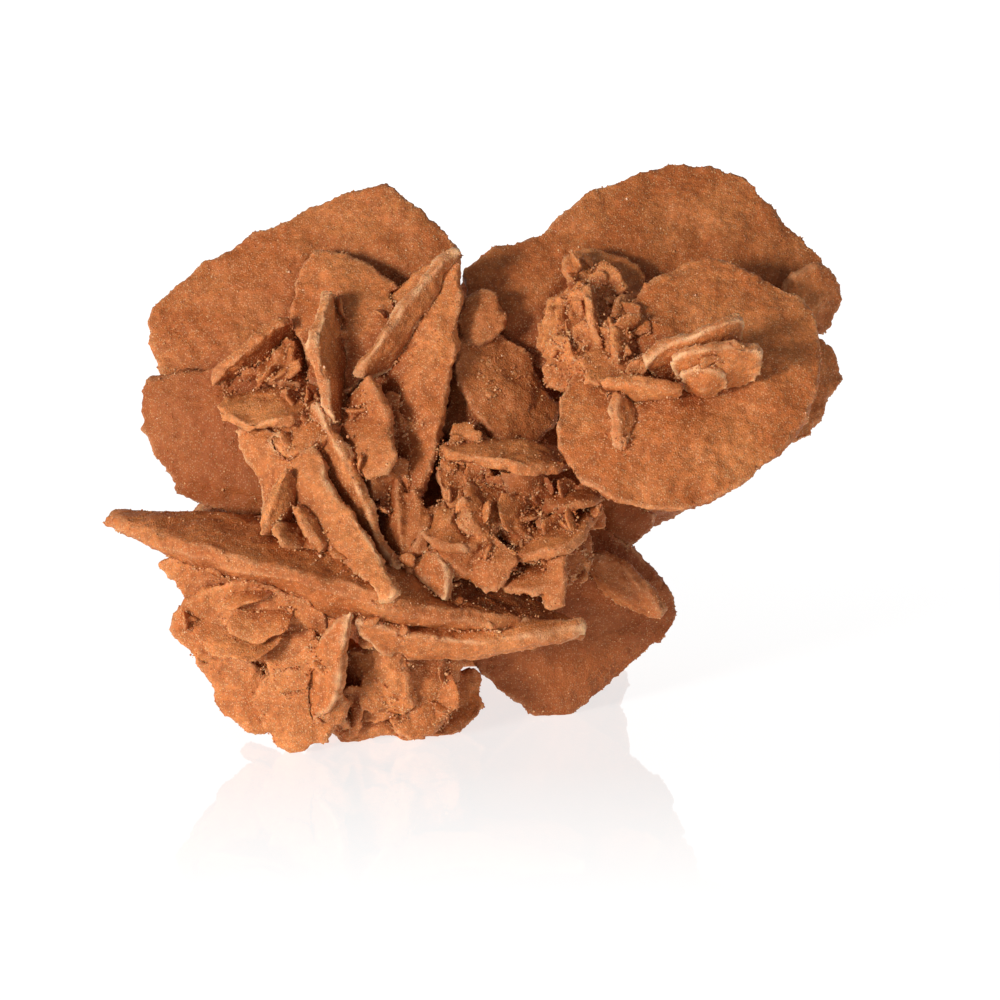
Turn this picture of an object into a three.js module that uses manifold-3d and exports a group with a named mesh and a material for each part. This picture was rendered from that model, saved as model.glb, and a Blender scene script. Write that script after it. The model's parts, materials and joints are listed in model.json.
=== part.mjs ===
// Gypsum sand rose: lens-shaped crystals of sandy gypsum that grew through each other in rosettes.
// Millimetres, +Z up, -Y towards the showing side. The origin lies on the surface that the rose rests on,
// under the middle of its bounding box.
import * as THREE from "three";
import { mergeVertices } from "three/addons/utils/BufferGeometryUtils.js";
import Module from "manifold-3d";

const wasm = await Module();
wasm.setup();

// Driving dimensions.
const LEAN = 15; // degrees that the rose leans back on its feet, from the frame it is laid out in
const REST = [-0.4, -22.8, -0.3]; // from the layout frame's origin to the part's frame, once it leans
const GAP = 0.3; // clearance where a crystal stops against an older one
const LARGE = { thick: 3.8, rim: 1.3, fine: 2, domed: true }; // the big plates
const TRACED = { ...LARGE, fine: 1 }; // big plates with a finely drawn outline
const MEDIUM = { thick: 2.8, rim: 1.1, fine: 2 }; // petals and fins
const SMALL = { thick: 2, rim: 0.8, fine: 1 }; // the blades of the tufts
const RAGGED = 0.05; // unevenness of a plain leaf's outline, as a share of its size
const SANDY = 0xb8713e;

// A crystal's section from its lower pole to its upper pole, as [share of the way out, height].
const sectionOf = (thick, rim, domed) => {
  const crown = thick / 2;
  const edge = rim / 2;
  const shoulder = 0.3 * edge + 0.7 * crown;
  const below = domed ? [[0.6, -shoulder]] : [];
  const above = domed ? [[0.6, shoulder]] : [];
  return [[0, -crown], ...below, [1, -edge], [1, edge], ...above, [0, crown]];
};

// The outline's points as one smooth closed curve, anticlockwise, with `fine` steps between two points.
const smoothOutline = (outline, fine) => {
  const points = outline.map(([u, v]) => new THREE.Vector3(u, v, 0));
  if (THREE.ShapeUtils.area(points) < 0) points.reverse();
  const curve = new THREE.CatmullRomCurve3(points, true, "centripetal");
  return curve.getPoints(points.length * fine).slice(0, -1);
};

// A turned lens pushed out to the outline. `extra` is how much larger it is made on every side.
const lensGeometry = ({ outline, thick, rim, fine, domed }, extra) => {
  const edge = smoothOutline(outline, fine);
  const middle = edge.reduce((sum, p) => sum.add(p), new THREE.Vector3()).divideScalar(edge.length);
  const section = sectionOf(thick + 2 * extra, rim + 2 * extra, domed);
  const profile = section.map(([out, height]) => new THREE.Vector2(out, height));
  const lens = new THREE.LatheGeometry(profile, edge.length);
  const position = lens.getAttribute("position");
  for (let i = 0; i < position.count; i++) {
    const [out, height] = section[i % section.length];
    const arm = edge[Math.floor(i / section.length) % edge.length].clone().sub(middle);
    arm.setLength(out * (arm.length() + extra)).add(middle);
    position.setXYZ(i, arm.x, arm.y, height);
  }
  return lens;
};

// Where a crystal stands: its broad face looks along `faces`, and its outline's u axis runs along `along`.
const placeOf = ({ at, faces, along = [1, 0, 0] }) => {
  const normal = new THREE.Vector3(...faces).normalize();
  const u = new THREE.Vector3(...along).projectOnPlane(normal).normalize();
  const v = normal.clone().cross(u);
  return new THREE.Matrix4().makeBasis(u, v, normal).setPosition(...at);
};

const manifoldOf = (geometry) => {
  geometry.deleteAttribute("normal");
  geometry.deleteAttribute("uv");
  const merged = mergeVertices(geometry, 1e-4);
  const triVerts = [];
  for (let i = 0; i < merged.index.count; i += 3) {
    const corners = [0, 1, 2].map((k) => merged.index.getX(i + k));
    if (new Set(corners).size === 3) triVerts.push(...corners);
  }
  const vertProperties = new Float32Array(merged.getAttribute("position").array);
  const mesh = new wasm.Mesh({ numProp: 3, vertProperties, triVerts: new Uint32Array(triVerts) });
  return new wasm.Manifold(mesh);
};

const solidOf = (crystal, extra = 0) =>
  manifoldOf(lensGeometry(crystal, extra).applyMatrix4(placeOf(crystal)));

// A plain leaf: an oval whose ends taper, with a slightly uneven edge. A taper of 1 is an ellipse.
const leaf = (length, width, taper = 1.2, corners = 10) =>
  Array.from({ length: corners }, (_, i) => {
    const angle = (2 * Math.PI * i) / corners;
    const across = Math.sign(Math.sin(angle)) * Math.abs(Math.sin(angle)) ** taper;
    const uneven = 1 + RAGGED * Math.sin(2.4 * i + length) + RAGGED * Math.sin(1.1 * i * i + width);
    return [(uneven * length * Math.cos(angle)) / 2, (uneven * width * across) / 2];
  });

// A fin, given by its free rim, which runs `from` one end `to` the other and bows out by `crown`.
// The fin goes `into` the rose by `deep`.
const fin = ({ from, to, into, deep, crown = 1.5, size = MEDIUM }) => {
  const start = new THREE.Vector3(...from);
  const chord = new THREE.Vector3(...to).sub(start);
  const half = chord.length() / 2;
  const out = new THREE.Vector3(...into).negate().projectOnPlane(chord.clone().normalize());
  return {
    ...size,
    at: start.addScaledVector(chord, 0.5).toArray(),
    faces: chord.clone().cross(out).toArray(),
    along: chord.toArray(),
    outline: [
      [-half, 0],
      [-0.75 * half, 0.5 * crown],
      [-0.35 * half, 0.95 * crown],
      [0.1 * half, crown],
      [0.55 * half, 0.7 * crown],
      [half, 0],
      [0.85 * half, -0.4 * deep],
      [0.45 * half, -0.85 * deep],
      [-0.1 * half, -deep],
      [-0.6 * half, -0.8 * deep],
      [-0.9 * half, -0.35 * deep],
    ],
  };
};

const rose = new THREE.Group();
const lean = new THREE.Matrix4().makeRotationX(THREE.MathUtils.degToRad(-LEAN)).setPosition(...REST);

// What a crystal stops against: the ground, which wears the feet flat, and the older crystals, each a gap
// larger than it is.
const ground = new THREE.BoxGeometry(400, 400, 100).translate(0, 0, -50).applyMatrix4(lean.clone().invert());
const grown = [manifoldOf(ground)];

const largestOf = (solid) =>
  solid.decompose().reduce((best, piece) => (piece.volume() > best.volume() ? piece : best));

const boxesMeet = (a, b) => [0, 1, 2].every((k) => a.min[k] < b.max[k] && b.min[k] < a.max[k]);

// Grows one named piece from one crystal, or from a tuft of crystals joined at their roots.
const grow = (name, crystals) => {
  let solid = crystals.map((crystal) => solidOf(crystal)).reduce((sum, next) => sum.add(next));
  for (const older of grown) {
    if (boxesMeet(solid.boundingBox(), older.boundingBox())) solid = solid.subtract(older);
  }
  grown.push(...crystals.map((crystal) => solidOf(crystal, GAP)));
  const { vertProperties, triVerts } = largestOf(solid).getMesh();
  const geometry = new THREE.BufferGeometry();
  geometry.setAttribute("position", new THREE.BufferAttribute(new Float32Array(vertProperties), 3));
  geometry.setIndex(new THREE.BufferAttribute(new Uint32Array(triVerts), 1));
  geometry.computeVertexNormals();
  const material = new THREE.MeshStandardMaterial({ color: SANDY, roughness: 0.75, metalness: 0 });
  const mesh = new THREE.Mesh(geometry, material);
  mesh.name = name;
  rose.add(mesh);
};

const growEach = (crystals) => {
  for (const [name, crystal] of Object.entries(crystals)) grow(name, [crystal].flat());
};

// The front ledge: a thick spear-ended lens that lies almost level, its edge towards the front.
growEach({
  front_ledge: {
    at: [-18, 3, 24.5],
    faces: [0.24, -0.11, 0.96],
    along: [1, 0, -0.25],
    thick: 11,
    rim: 1.4,
    fine: 2,
    domed: true,
    outline: [
      [-34.5, 0], [-28, -6], [-18, -11], [-5, -14.5], [9, -13.5], [21, -9], [31, -4], [34.5, -2],
      [28, 5], [14, 12], [-4, 14], [-20, 10],
    ],
  },
});

// The broad plates that the rosettes stand on.
growEach({
  front_right_plate: {
    ...TRACED,
    at: [31.5, -2, 51.5],
    faces: [0.05, -0.95, 0.3],
    outline: [
      [-6, 15], [-2, 18], [2, 19], [6, 17.5], [9.5, 16], [13.5, 14], [16.5, 10], [17, 6], [16, 1],
      [14.5, -5], [11, -9.5], [6, -13.5], [1.5, -16.5], [-3, -18], [-7.5, -18], [-11.5, -17],
      [-15.5, -15], [-19.5, -10], [-19.5, -2.5], [-14, 7.5],
    ],
  },
  upper_right_plate: {
    ...TRACED,
    at: [26, 12, 68],
    faces: [0.08, -0.95, 0.28],
    outline: [
      [-27.5, -0.5], [-23, 3], [-16.5, 5], [-13, 8], [-9.5, 11], [-3.5, 14], [2, 16], [7.5, 16],
      [12.5, 14], [16.5, 9.5], [20.5, 6], [23.5, 2], [25.5, -3], [20.5, -11.5], [6, -19], [-8, -19.5],
      [-19.5, -14], [-26, -6.5],
    ],
  },
  upper_left_plate: {
    ...TRACED,
    at: [-25, 11, 59.5],
    faces: [-0.15, -0.95, 0.25],
    outline: [
      [-22, -0.5], [-21.5, 4], [-19, 6.5], [-14, 10.5], [-7, 14.5], [0.5, 18], [6, 19.2], [10, 20],
      [13, 19.9], [15.5, 18.7], [18.3, 16], [20.2, 13.6], [22.8, 10.2], [22, -1], [17.5, -14], [6, -18],
      [-7, -14.5], [-19.5, -7],
    ],
  },
  lower_left_plate: {
    ...TRACED,
    at: [-34, 7, 44],
    faces: [-0.3, -0.95, -0.05],
    outline: [
      [-13, 8.5], [-14, 6], [-13.5, 2], [-11, -2], [-8.5, -5.5], [-7, -8.5], [1, -11], [13, -10],
      [17.5, -1.5], [10, 7.5], [-2, 9.5],
    ],
  },
  bottom_right_plate: {
    ...TRACED,
    at: [16, 12, 18],
    faces: [0.25, -0.9, -0.35],
    outline: [
      [-18, -3.5], [-15.5, -6.5], [-11, -10.5], [-6, -14.5], [-3.5, -14.5], [0, -12], [4.5, -8.5],
      [8, -5.5], [11.5, -3], [13, 0], [11, 4.5], [8.5, 8.5], [6, 12], [0.5, 15.5], [-8.5, 10],
      [-15.5, 3.5],
    ],
  },
});

// Upper left rosette.
growEach({
  tall_spear: fin({
    from: [-2.5, 2, 69], to: [-8.5, -3, 35.5], into: [-0.93, 0.36, 0], deep: 12, crown: 2.8,
  }),
  white_edged_fin: fin({
    from: [-21.5, 1, 65], to: [-19.5, -3, 45.5], into: [0.36, 0.93, 0], deep: 14, crown: 4,
  }),
  spear_companion: fin({
    from: [-16.5, -2.5, 52.5], to: [-3, 1, 69.5], into: [0.55, 0.75, -0.35], deep: 6, crown: 1.5,
  }),
  inner_upper_petal: {
    ...MEDIUM,
    at: [-16, 4, 61.5],
    faces: [-0.2, -0.9, 0.35],
    outline: [
      [-9.5, 6.5], [-8.5, 9], [-6, 10.5], [-2, 9.5], [1.5, 7.5], [5.5, 4], [7.5, 1], [4, -4],
      [-1, -12], [-5, -13], [-9, -3],
    ],
  },
  left_small_fin: fin({ from: [-37, 4, 52], to: [-26.5, 3, 61], into: [0.3, 0.9, -0.3], deep: 9 }),
  left_leaves: [
    { ...MEDIUM, at: [-28, 2, 49], faces: [-0.2, -0.5, 0.85], outline: leaf(14.5, 12, 1.1) },
    { ...MEDIUM, at: [-23.5, -1, 45], faces: [-0.3, -0.75, 0.55], outline: leaf(11, 9) },
  ],
  left_block: [
    { ...SMALL, at: [-28, 4.5, 54], faces: [-0.4, -0.75, 0.5], outline: leaf(7, 6) },
    { ...SMALL, at: [-25.5, 5, 55], faces: [0.5, -0.8, 0.3], outline: leaf(7, 7) },
    { ...SMALL, at: [-26.5, 5, 53], faces: [0.1, -0.5, 0.85], outline: leaf(9, 7) },
  ],
});

// The blades that run down from the upper left rosette to the ledge.
growEach({
  triangle_plate: {
    ...MEDIUM,
    at: [-23.5, -4, 34],
    faces: [-0.45, -0.85, 0.1],
    outline: [
      [-11, 11.5], [-3.5, 11], [2, 8.5], [4.5, 3], [9, -3.5], [13.5, -10.5], [14, -13], [4, -13],
      [-6, -4], [-7, 4.5],
    ],
  },
  long_fin: fin({ from: [-22, -3, 48.5], to: [-10.5, -6, 24.5], into: [-0.55, 0.8, 0], deep: 12 }),
  crossing_leaves: [
    fin({ from: [-15, -3, 51.5], to: [-12, -4, 43], into: [-0.7, 0.7, 0], deep: 6, size: SMALL }),
    {
      ...SMALL, at: [-15, -3.5, 43.5], faces: [-0.5, -0.8, 0.3], along: [0.6, 0, -0.8], outline: leaf(12, 7),
    },
  ],
  triangle_fin: fin({ from: [-25.5, -6, 39.5], to: [-29, -7, 31], into: [0.6, 0.8, 0], deep: 6, crown: 1 }),
  ledge_tuft: [
    fin({ from: [-27, -7, 32.5], to: [-24.5, -8, 28], into: [0.5, 0.85, -0.1], deep: 6, size: SMALL }),
    fin({ from: [-24.5, -7, 35], to: [-21, -8, 28], into: [0.5, 0.85, -0.1], deep: 6, size: SMALL }),
    fin({ from: [-21.5, -6, 33], to: [-18, -8, 27], into: [0.4, 0.85, -0.1], deep: 6, size: SMALL }),
    { ...SMALL, at: [-22.5, -5, 30], faces: [0.1, -0.6, 0.8], outline: leaf(9, 6) },
  ],
  frosted_leaf: fin({ from: [-6, -7, 29], to: [-4, -7, 21.5], into: [-0.8, 0.6, 0], deep: 6 }),
  stem_tuft: [
    fin({ from: [-11, -3, 39], to: [-9, -6, 23], into: [-0.5, 0.85, 0], deep: 7, crown: 1, size: SMALL }),
    fin({ from: [-8.5, -4, 37], to: [-6.5, -7, 24], into: [-0.6, 0.8, 0], deep: 7, crown: 1, size: SMALL }),
    fin({ from: [-6, -4, 34], to: [-8, -7, 29], into: [-0.3, 0.9, 0.2], deep: 5, crown: 1, size: SMALL }),
  ],
});

// Between the two upper rosettes.
growEach({
  middle_petal: {
    ...MEDIUM,
    at: [5, 3, 51],
    faces: [0.3, -0.9, 0.25],
    outline: [
      [-5, 9], [-1.5, 7.5], [2, 5], [5.5, -0.5], [7, -2.5], [5, -6], [2, -9.5], [-0.5, -9], [-4.5, -5],
      [-7, -1], [-7.5, 5],
    ],
  },
  inner_right_petal: {
    ...MEDIUM, at: [1, 3, 61], faces: [-0.1, -0.95, 0.2], along: [0.3, 0, 1], outline: leaf(8, 6),
  },
  gap_tuft: [
    fin({ from: [-2.5, 3, 53.5], to: [1, 1, 46.5], into: [-0.6, 0.8, 0], deep: 8, size: SMALL }),
    { ...SMALL, at: [0.5, 2.5, 46], faces: [0.1, -0.85, 0.5], outline: leaf(9, 9) },
  ],
});

// Right rosette, on the front right plate.
growEach({
  right_corner_petal: {
    ...MEDIUM,
    at: [48, 10, 64],
    faces: [0.35, -0.9, -0.1],
    outline: [
      [-4.5, 2.5], [-2, 4], [1, 4.5], [3.5, 3], [4.5, 0.5], [3.5, -3], [2, -5], [-1.5, -5], [-4, -2],
    ],
  },
  right_rear_petal: {
    ...MEDIUM,
    at: [47, 7, 51.5],
    faces: [0.3, -0.92, 0.1],
    outline: [
      [-1, 8], [2.5, 6], [4.5, 3.5], [5, 1.5], [3, -1.5], [1.5, -5.5], [-1.5, -8], [-6.5, -6.5], [-7, 2],
    ],
  },
  upper_curved_blade: fin({ from: [23, -7, 54.5], to: [36.5, -9, 60.5], into: [0.15, 0.75, -0.6], deep: 9 }),
  middle_curved_blade: fin({
    from: [27, -8, 54.5], to: [40, -9, 55.5], into: [0.1, 0.75, -0.6], deep: 9, crown: 2.5,
  }),
  lower_curved_blade: fin({ from: [28.5, -8, 53], to: [35, -8, 52.5], into: [0.1, 0.8, -0.5], deep: 6 }),
  level_blade: fin({
    from: [17.5, -7, 51.5], to: [28.5, -8, 50.5], into: [0, 0.9, -0.35], deep: 7, crown: 1,
  }),
  upright_blade: fin({ from: [19.5, -7, 50], to: [20, -7, 42], into: [0.5, 0.85, 0], deep: 6, crown: 1 }),
  right_rosette: [
    { ...SMALL, at: [18, 6, 67], faces: [0.1, -0.8, 0.55], outline: leaf(12, 8) },
    { ...SMALL, at: [21, 4, 64], faces: [0.2, -0.75, 0.6], outline: leaf(11, 8) },
    { ...SMALL, at: [14, 4, 62], faces: [-0.3, -0.8, 0.5], outline: leaf(9, 8) },
    { ...SMALL, at: [18, 2, 61], faces: [0.1, -0.85, 0.5], outline: leaf(10, 9) },
    { ...SMALL, at: [23, 1, 60], faces: [0.6, -0.7, 0.3], outline: leaf(9, 9) },
    { ...SMALL, at: [13, 2, 58], faces: [-0.4, -0.8, 0.4], outline: leaf(10, 9) },
    { ...SMALL, at: [18, -1, 57], faces: [0, -0.85, 0.5], outline: leaf(11, 9) },
    { ...SMALL, at: [14.5, -1, 54], faces: [-0.3, -0.8, 0.5], outline: leaf(10, 8) },
    { ...SMALL, at: [20, -4, 53.5], faces: [0.1, -0.85, 0.5], outline: leaf(11, 8) },
    { ...SMALL, at: [22, -2, 56], faces: [0.7, -0.6, 0.2], outline: leaf(10, 9) },
    { ...SMALL, at: [18, 2, 58], faces: [0.9, -0.2, 0.2], outline: leaf(16, 10) },
  ],
});

// Centre rosette, between the ledge and the front right plate.
growEach({
  centre_ledge: { ...MEDIUM, at: [6, -2, 41.5], faces: [0.1, -0.35, 0.93], outline: leaf(20, 12, 1.4) },
  swirl_petal: {
    ...MEDIUM,
    at: [1.5, -4, 35.5],
    faces: [0.1, -0.85, 0.5],
    outline: [
      [-6.5, 5], [-3.5, 6.5], [0.5, 5.5], [3.5, 4], [5, 1.5], [6, -0.5], [4, -2.5], [2, -4.5],
      [-0.5, -6.5], [-5, -3.5],
    ],
  },
  centre_wedge: {
    ...MEDIUM,
    at: [8, -4, 37.5],
    faces: [0.3, -0.9, -0.3],
    outline: [[-4.5, 3.5], [-1, 3.5], [2.5, 2], [2, -0.5], [-0.5, -4], [-2.5, -2]],
  },
  centre_ridge: {
    ...MEDIUM, at: [10, -4, 31], faces: [-0.25, -0.5, 0.85], along: [1, 0, 0.3], outline: leaf(13, 12),
  },
  centre_left_tuft: [
    { ...SMALL, at: [0.5, -6.5, 33.5], faces: [0.55, -0.7, 0.45], along: [0, 0, 1], outline: leaf(7.5, 6) },
    { ...SMALL, at: [-4.5, -5.5, 33], faces: [-0.6, -0.6, 0.5], along: [0, 0, 1], outline: leaf(5, 4.5) },
    { ...SMALL, at: [-3, -6.5, 30.5], faces: [0.1, -0.45, 0.9], outline: leaf(8, 6) },
    { ...SMALL, at: [-2.5, -6.5, 28], faces: [0.2, -0.9, -0.2], outline: leaf(8, 6) },
    { ...SMALL, at: [2, -7, 26.5], faces: [-0.3, -0.9, 0.1], along: [0.2, 0, 1], outline: leaf(8, 7) },
    { ...SMALL, at: [0, -4, 30], faces: [0.4, -0.8, 0.4], outline: leaf(12, 12) },
  ],
  centre_right_tuft: [
    { ...SMALL, at: [8, -6, 24.5], faces: [-0.3, -0.6, 0.75], along: [1, 0, 0.7], outline: leaf(8, 6) },
    { ...SMALL, at: [10.5, -7, 24.5], faces: [-0.8, -0.55, 0.1], along: [0, 0, 1], outline: leaf(7, 6) },
    { ...SMALL, at: [15, -5, 29], faces: [0.4, -0.85, -0.1], along: [0, 0, 1], outline: leaf(8, 5) },
    { ...SMALL, at: [14, -4.5, 35], faces: [0, -0.4, 0.9], outline: leaf(8, 6, 1.5) },
    { ...SMALL, at: [12.5, -3, 31], faces: [0.6, -0.7, 0.2], along: [0, 0, 1], outline: leaf(13, 9) },
  ],
});

// Lower right.
growEach({
  under_right_petal: {
    ...MEDIUM,
    at: [21.5, 8, 33],
    faces: [0.1, -0.9, -0.4],
    outline: [[-5, 4.5], [0, 3], [4, 0.5], [3, -2], [1, -3.5], [-2, -3], [-4.5, -1]],
  },
  bottom_right_fin: fin({ from: [17.5, 2, 28], to: [26.5, 4, 19.5], into: [-0.35, 0.9, -0.3], deep: 8 }),
});

// Lower left rosette, under the ledge.
growEach({
  lower_spear: {
    ...MEDIUM,
    at: [-20.5, -6, 12],
    faces: [-0.55, -0.8, -0.15],
    along: [0.5, -0.35, 0.8],
    outline: [[9.5, 0.5], [4.5, -0.5], [0, -2], [-3, -2.5], [-10.5, -0.5], [-9.5, 1.5], [-4.5, 4], [3, 3]],
  },
  bowl_petal: {
    ...MEDIUM,
    at: [-31, -3, 16.5],
    faces: [-0.1, -0.9, -0.4],
    outline: [
      [-11, 1], [-10, 3.5], [-7, 6.5], [1.5, 8.5], [10, 6], [10.5, 1.5], [9, -3.5], [7, -5.5],
      [4.5, -7.5], [0, -7.5], [-5.5, -5], [-8, -3],
    ],
  },
  under_ledge_petal: {
    ...MEDIUM,
    at: [-36, -1, 19],
    faces: [-0.35, -0.85, -0.35],
    outline: [
      [-8.5, 7.5], [-4.5, 3.5], [-4, 1], [-1.5, -2.5], [1, -4], [3, -4.5], [7, -1.5], [8.5, 4],
      [4, 7.5], [-2, 9],
    ],
  },
  lower_left_petal: {
    ...MEDIUM,
    at: [-34, -1, 9.5],
    faces: [-0.3, -0.9, -0.3],
    outline: [
      [-5.5, 4], [-3.5, 1], [-1.5, -2.5], [1, -5], [4, -7], [6, -6], [7.5, -1.5], [4.5, 2.5], [0, 5],
    ],
  },
  bottom_keel: {
    ...MEDIUM,
    at: [-26.5, -3, 5.5],
    faces: [0, -0.93, -0.36],
    outline: [
      [-4.5, 3.5], [-3.5, 0.5], [-2, -3.5], [0, -5.5], [1.5, -6], [3, -5], [5.5, -3.5], [7, -1],
      [8.5, 2], [5, 6.5], [-0.5, 6.5],
    ],
  },
  lower_middle_petal: {
    ...MEDIUM,
    at: [-14, 0, 9.5],
    faces: [-0.35, -0.85, -0.35],
    outline: [
      [-3.5, 4.5], [3.5, 6.5], [6, 0], [6.5, -2], [3, -4], [-0.5, -5], [-4.5, -5], [-6, -3.5], [-5, 0],
    ],
  },
  lower_right_petal: {
    ...MEDIUM,
    at: [-6.5, 1, 8],
    faces: [0.3, -0.92, -0.15],
    outline: [
      [-3.5, 6], [0.5, 6.5], [5, 6], [4, 2], [2.5, -1.5], [0.5, -4.5], [-2.5, -6], [-4.5, -5], [-5, -2],
    ],
  },
  base_tuft: [
    {
      ...MEDIUM,
      at: [-14.5, 4, 4],
      faces: [0.1, -0.95, -0.2],
      outline: [
        [-6.5, 1.5], [-3, 2.5], [4, 2], [7.5, -1], [4.5, -2.5], [2, -1.5], [-1.5, -3], [-4, -2.5], [-6, -1],
      ],
    },
    {
      ...MEDIUM,
      at: [-3, 8, 7],
      faces: [0.4, -0.85, -0.1],
      outline: [[-3.5, 1.5], [2.5, 4], [4, 1.5], [3.5, -0.5], [2, -1.5], [-1.5, -3], [-4.5, -4.5]],
    },
    { ...MEDIUM, at: [-9, 7, 6.5], faces: [0.15, -0.9, 0.3], outline: leaf(20, 9) },
    { ...MEDIUM, at: [-18, 8, 9], faces: [0.8, -0.3, 0.4], along: [0, 1, 0.2], outline: leaf(20, 14) },
    { ...MEDIUM, at: [-7, 11, 9], faces: [-0.8, -0.4, 0.4], along: [0, 1, 0], outline: leaf(18, 13) },
    { ...MEDIUM, at: [-25, 7, 10], faces: [-0.5, -0.5, 0.7], along: [0, 1, 0.5], outline: leaf(20, 16) },
  ],
});

// The plates within and behind, which cross the front ones from the back and end in the rear feet.
growEach({
  heart_plate: {
    ...LARGE, at: [-1, 14, 41], faces: [0.1, -0.97, 0.2], along: [0.2, 0, 1], outline: leaf(42, 39),
  },
  ledge_lower_plate: {
    ...LARGE,
    at: [-2, -4.5, 16.5],
    faces: [0.05, -0.75, -0.65],
    outline: [
      [-14, 4.5], [-12, 0], [-8, -3.2], [-1, -4], [6, -3.6], [12, -1.8], [17, -0.2], [16.6, 0.8],
      [12, 1.1], [6, 0.5], [0, 0.4], [-6, 2],
    ],
  },
  rear_shelf: {
    ...LARGE, at: [1, 27, 31], faces: [-0.15, 0.35, 0.9], along: [1, 0.1, 0.15], outline: leaf(60, 40),
  },
  middle_keel: {
    ...LARGE, at: [4, 20, 46], faces: [0.93, -0.2, 0.25], along: [0, 0.2, 1], outline: leaf(46, 34),
  },
  rear_left_keel: {
    ...LARGE, at: [-21, 22, 44], faces: [0.92, 0.3, 0.1], along: [0.05, -0.25, 1], outline: leaf(48, 36),
  },
  rear_right_keel: {
    ...LARGE, at: [25, 24, 52], faces: [-0.8, 0.55, 0.15], along: [0.2, 0.1, 1], outline: leaf(40, 34),
  },
  rear_left_wing: { ...LARGE, at: [-28, 22, 36], faces: [-0.35, 0.25, 0.9], outline: leaf(32, 28) },
  rear_left_petal: { ...LARGE, at: [-18, 26, 54], faces: [-0.1, 0.55, 0.85], outline: leaf(36, 28) },
  rear_right_petal: { ...LARGE, at: [30, 24, 54], faces: [0.3, 0.5, 0.85], outline: leaf(34, 26) },
  rear_cross_plate: { ...LARGE, at: [2, 34, 22], faces: [0.1, 0.9, 0.3], outline: leaf(44, 30) },
  rear_left_foot: {
    ...LARGE, at: [-16, 25, 18], faces: [0.75, 0.6, -0.2], along: [-0.2, 0.3, 1], outline: leaf(26, 30),
  },
  rear_right_foot: {
    ...LARGE, at: [12, 27, 18], faces: [-0.75, 0.6, -0.2], along: [0.2, 0.3, 1], outline: leaf(26, 30),
  },
});

rose.applyMatrix4(lean);
const part = new THREE.Group();
part.add(rose);
export default part;
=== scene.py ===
"""Gypsum sand rose: a cluster of sandy, waxy gypsum crystals grown through each other in rosettes."""

import json
import math

import bmesh
import bpy
import numpy as np
from mathutils import Matrix, Vector
from mathutils.kdtree import KDTree


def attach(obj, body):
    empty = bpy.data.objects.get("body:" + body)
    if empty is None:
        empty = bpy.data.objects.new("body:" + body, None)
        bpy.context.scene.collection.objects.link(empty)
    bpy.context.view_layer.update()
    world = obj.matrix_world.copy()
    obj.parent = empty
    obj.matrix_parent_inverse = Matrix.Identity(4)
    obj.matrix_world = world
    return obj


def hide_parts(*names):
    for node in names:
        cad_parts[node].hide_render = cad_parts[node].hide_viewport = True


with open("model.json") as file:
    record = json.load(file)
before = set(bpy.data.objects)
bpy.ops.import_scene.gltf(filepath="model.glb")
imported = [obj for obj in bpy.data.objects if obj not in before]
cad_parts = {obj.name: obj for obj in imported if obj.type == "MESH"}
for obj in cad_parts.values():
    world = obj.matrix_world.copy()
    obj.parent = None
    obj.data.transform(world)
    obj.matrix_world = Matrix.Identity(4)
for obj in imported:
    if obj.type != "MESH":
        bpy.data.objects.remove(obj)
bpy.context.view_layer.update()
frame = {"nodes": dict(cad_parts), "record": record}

bl_info = {
    "name": "Gypsum Sand Rose",
    "version": (1, 0, 0),
    "blender": (4, 5, 0),
    "location": "3D View > Sidebar > Sand Rose",
    "description": "Weathers the crystals of a gypsum sand rose, fills its clefts with small blades and sand",
    "category": "Object",
}

MM = 0.001
BODY = "root"
SLOTS = {part["node"]: part["material_slot"] for part in frame["record"]["subparts"]}

# How far the skin stands proud of its surroundings where a rim starts and where it is full, and how far it
# dips where a hollow starts and where it is full.
RIM_STARTS, RIM_FULL = 0.04 * MM, 0.26 * MM
HOLLOW_STARTS, HOLLOW_FULL = 0.02 * MM, 0.25 * MM
RIM_LEVELS = 10  # steps of the weight that a rim has

# How far the surroundings of a point reach, in rounds of averaging over the skin.
CRYSTAL_ROUNDS = 14
PETAL_ROUNDS = 10

# How wide the blotches of each pattern in the skin are.
BENDING = 11 * MM
RIM_BITES = 2.4 * MM
LUMPS = 3.2 * MM
RIM_CRUMBS = 0.9 * MM
SUGAR = 0.6 * MM

REAR_SKIN = 1.25  # a cell of the rear crystals' skin, against the others'
SCALE_SKIN = 1.15  # a cell of the cleft scales' skin, against the petals'
PETAL_ROUGHNESS = 0.28  # relief of the small petals, against the crystals'
SCALE_ROUGHNESS = 0.3
SINGLE_THICKNESS = 1.3  # thickness of a petal that grows alone, against the others'
SINGLE_CURL = 0.14
SCALE_CURL = 0.12
SPIRAL = 2.4  # radians between a petal of a rosette and the next

CLEFT_OPENS = 0.75  # how far two faces must look the same way to make a cleft, from 0 to 2
CLEFT_BENDS = 0.2  # how far they must look apart, from 0 to 1
CLEFT_STEP = 3  # one point in so many is tried
SCALES_REACH = 0.9 * MM  # between two crystals, where scales grow
SAND_REACH = 0.7 * MM  # between two crystals, where sand gathers
SCALES_SHARE = 0.10  # share of all points that scales grow on
SAND_SHARE = 0.12  # share of all points that sand settles on
HEAP = 0.35 * MM  # height of the sand in a cleft
SPREAD = 0.7 * MM  # how far sand lies along a cleft
CREVICE, THICKET = 0.17, 0.52  # crowding where the painted shade in the clefts starts to darken and redden the gypsum, and where it is darkest
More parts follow.
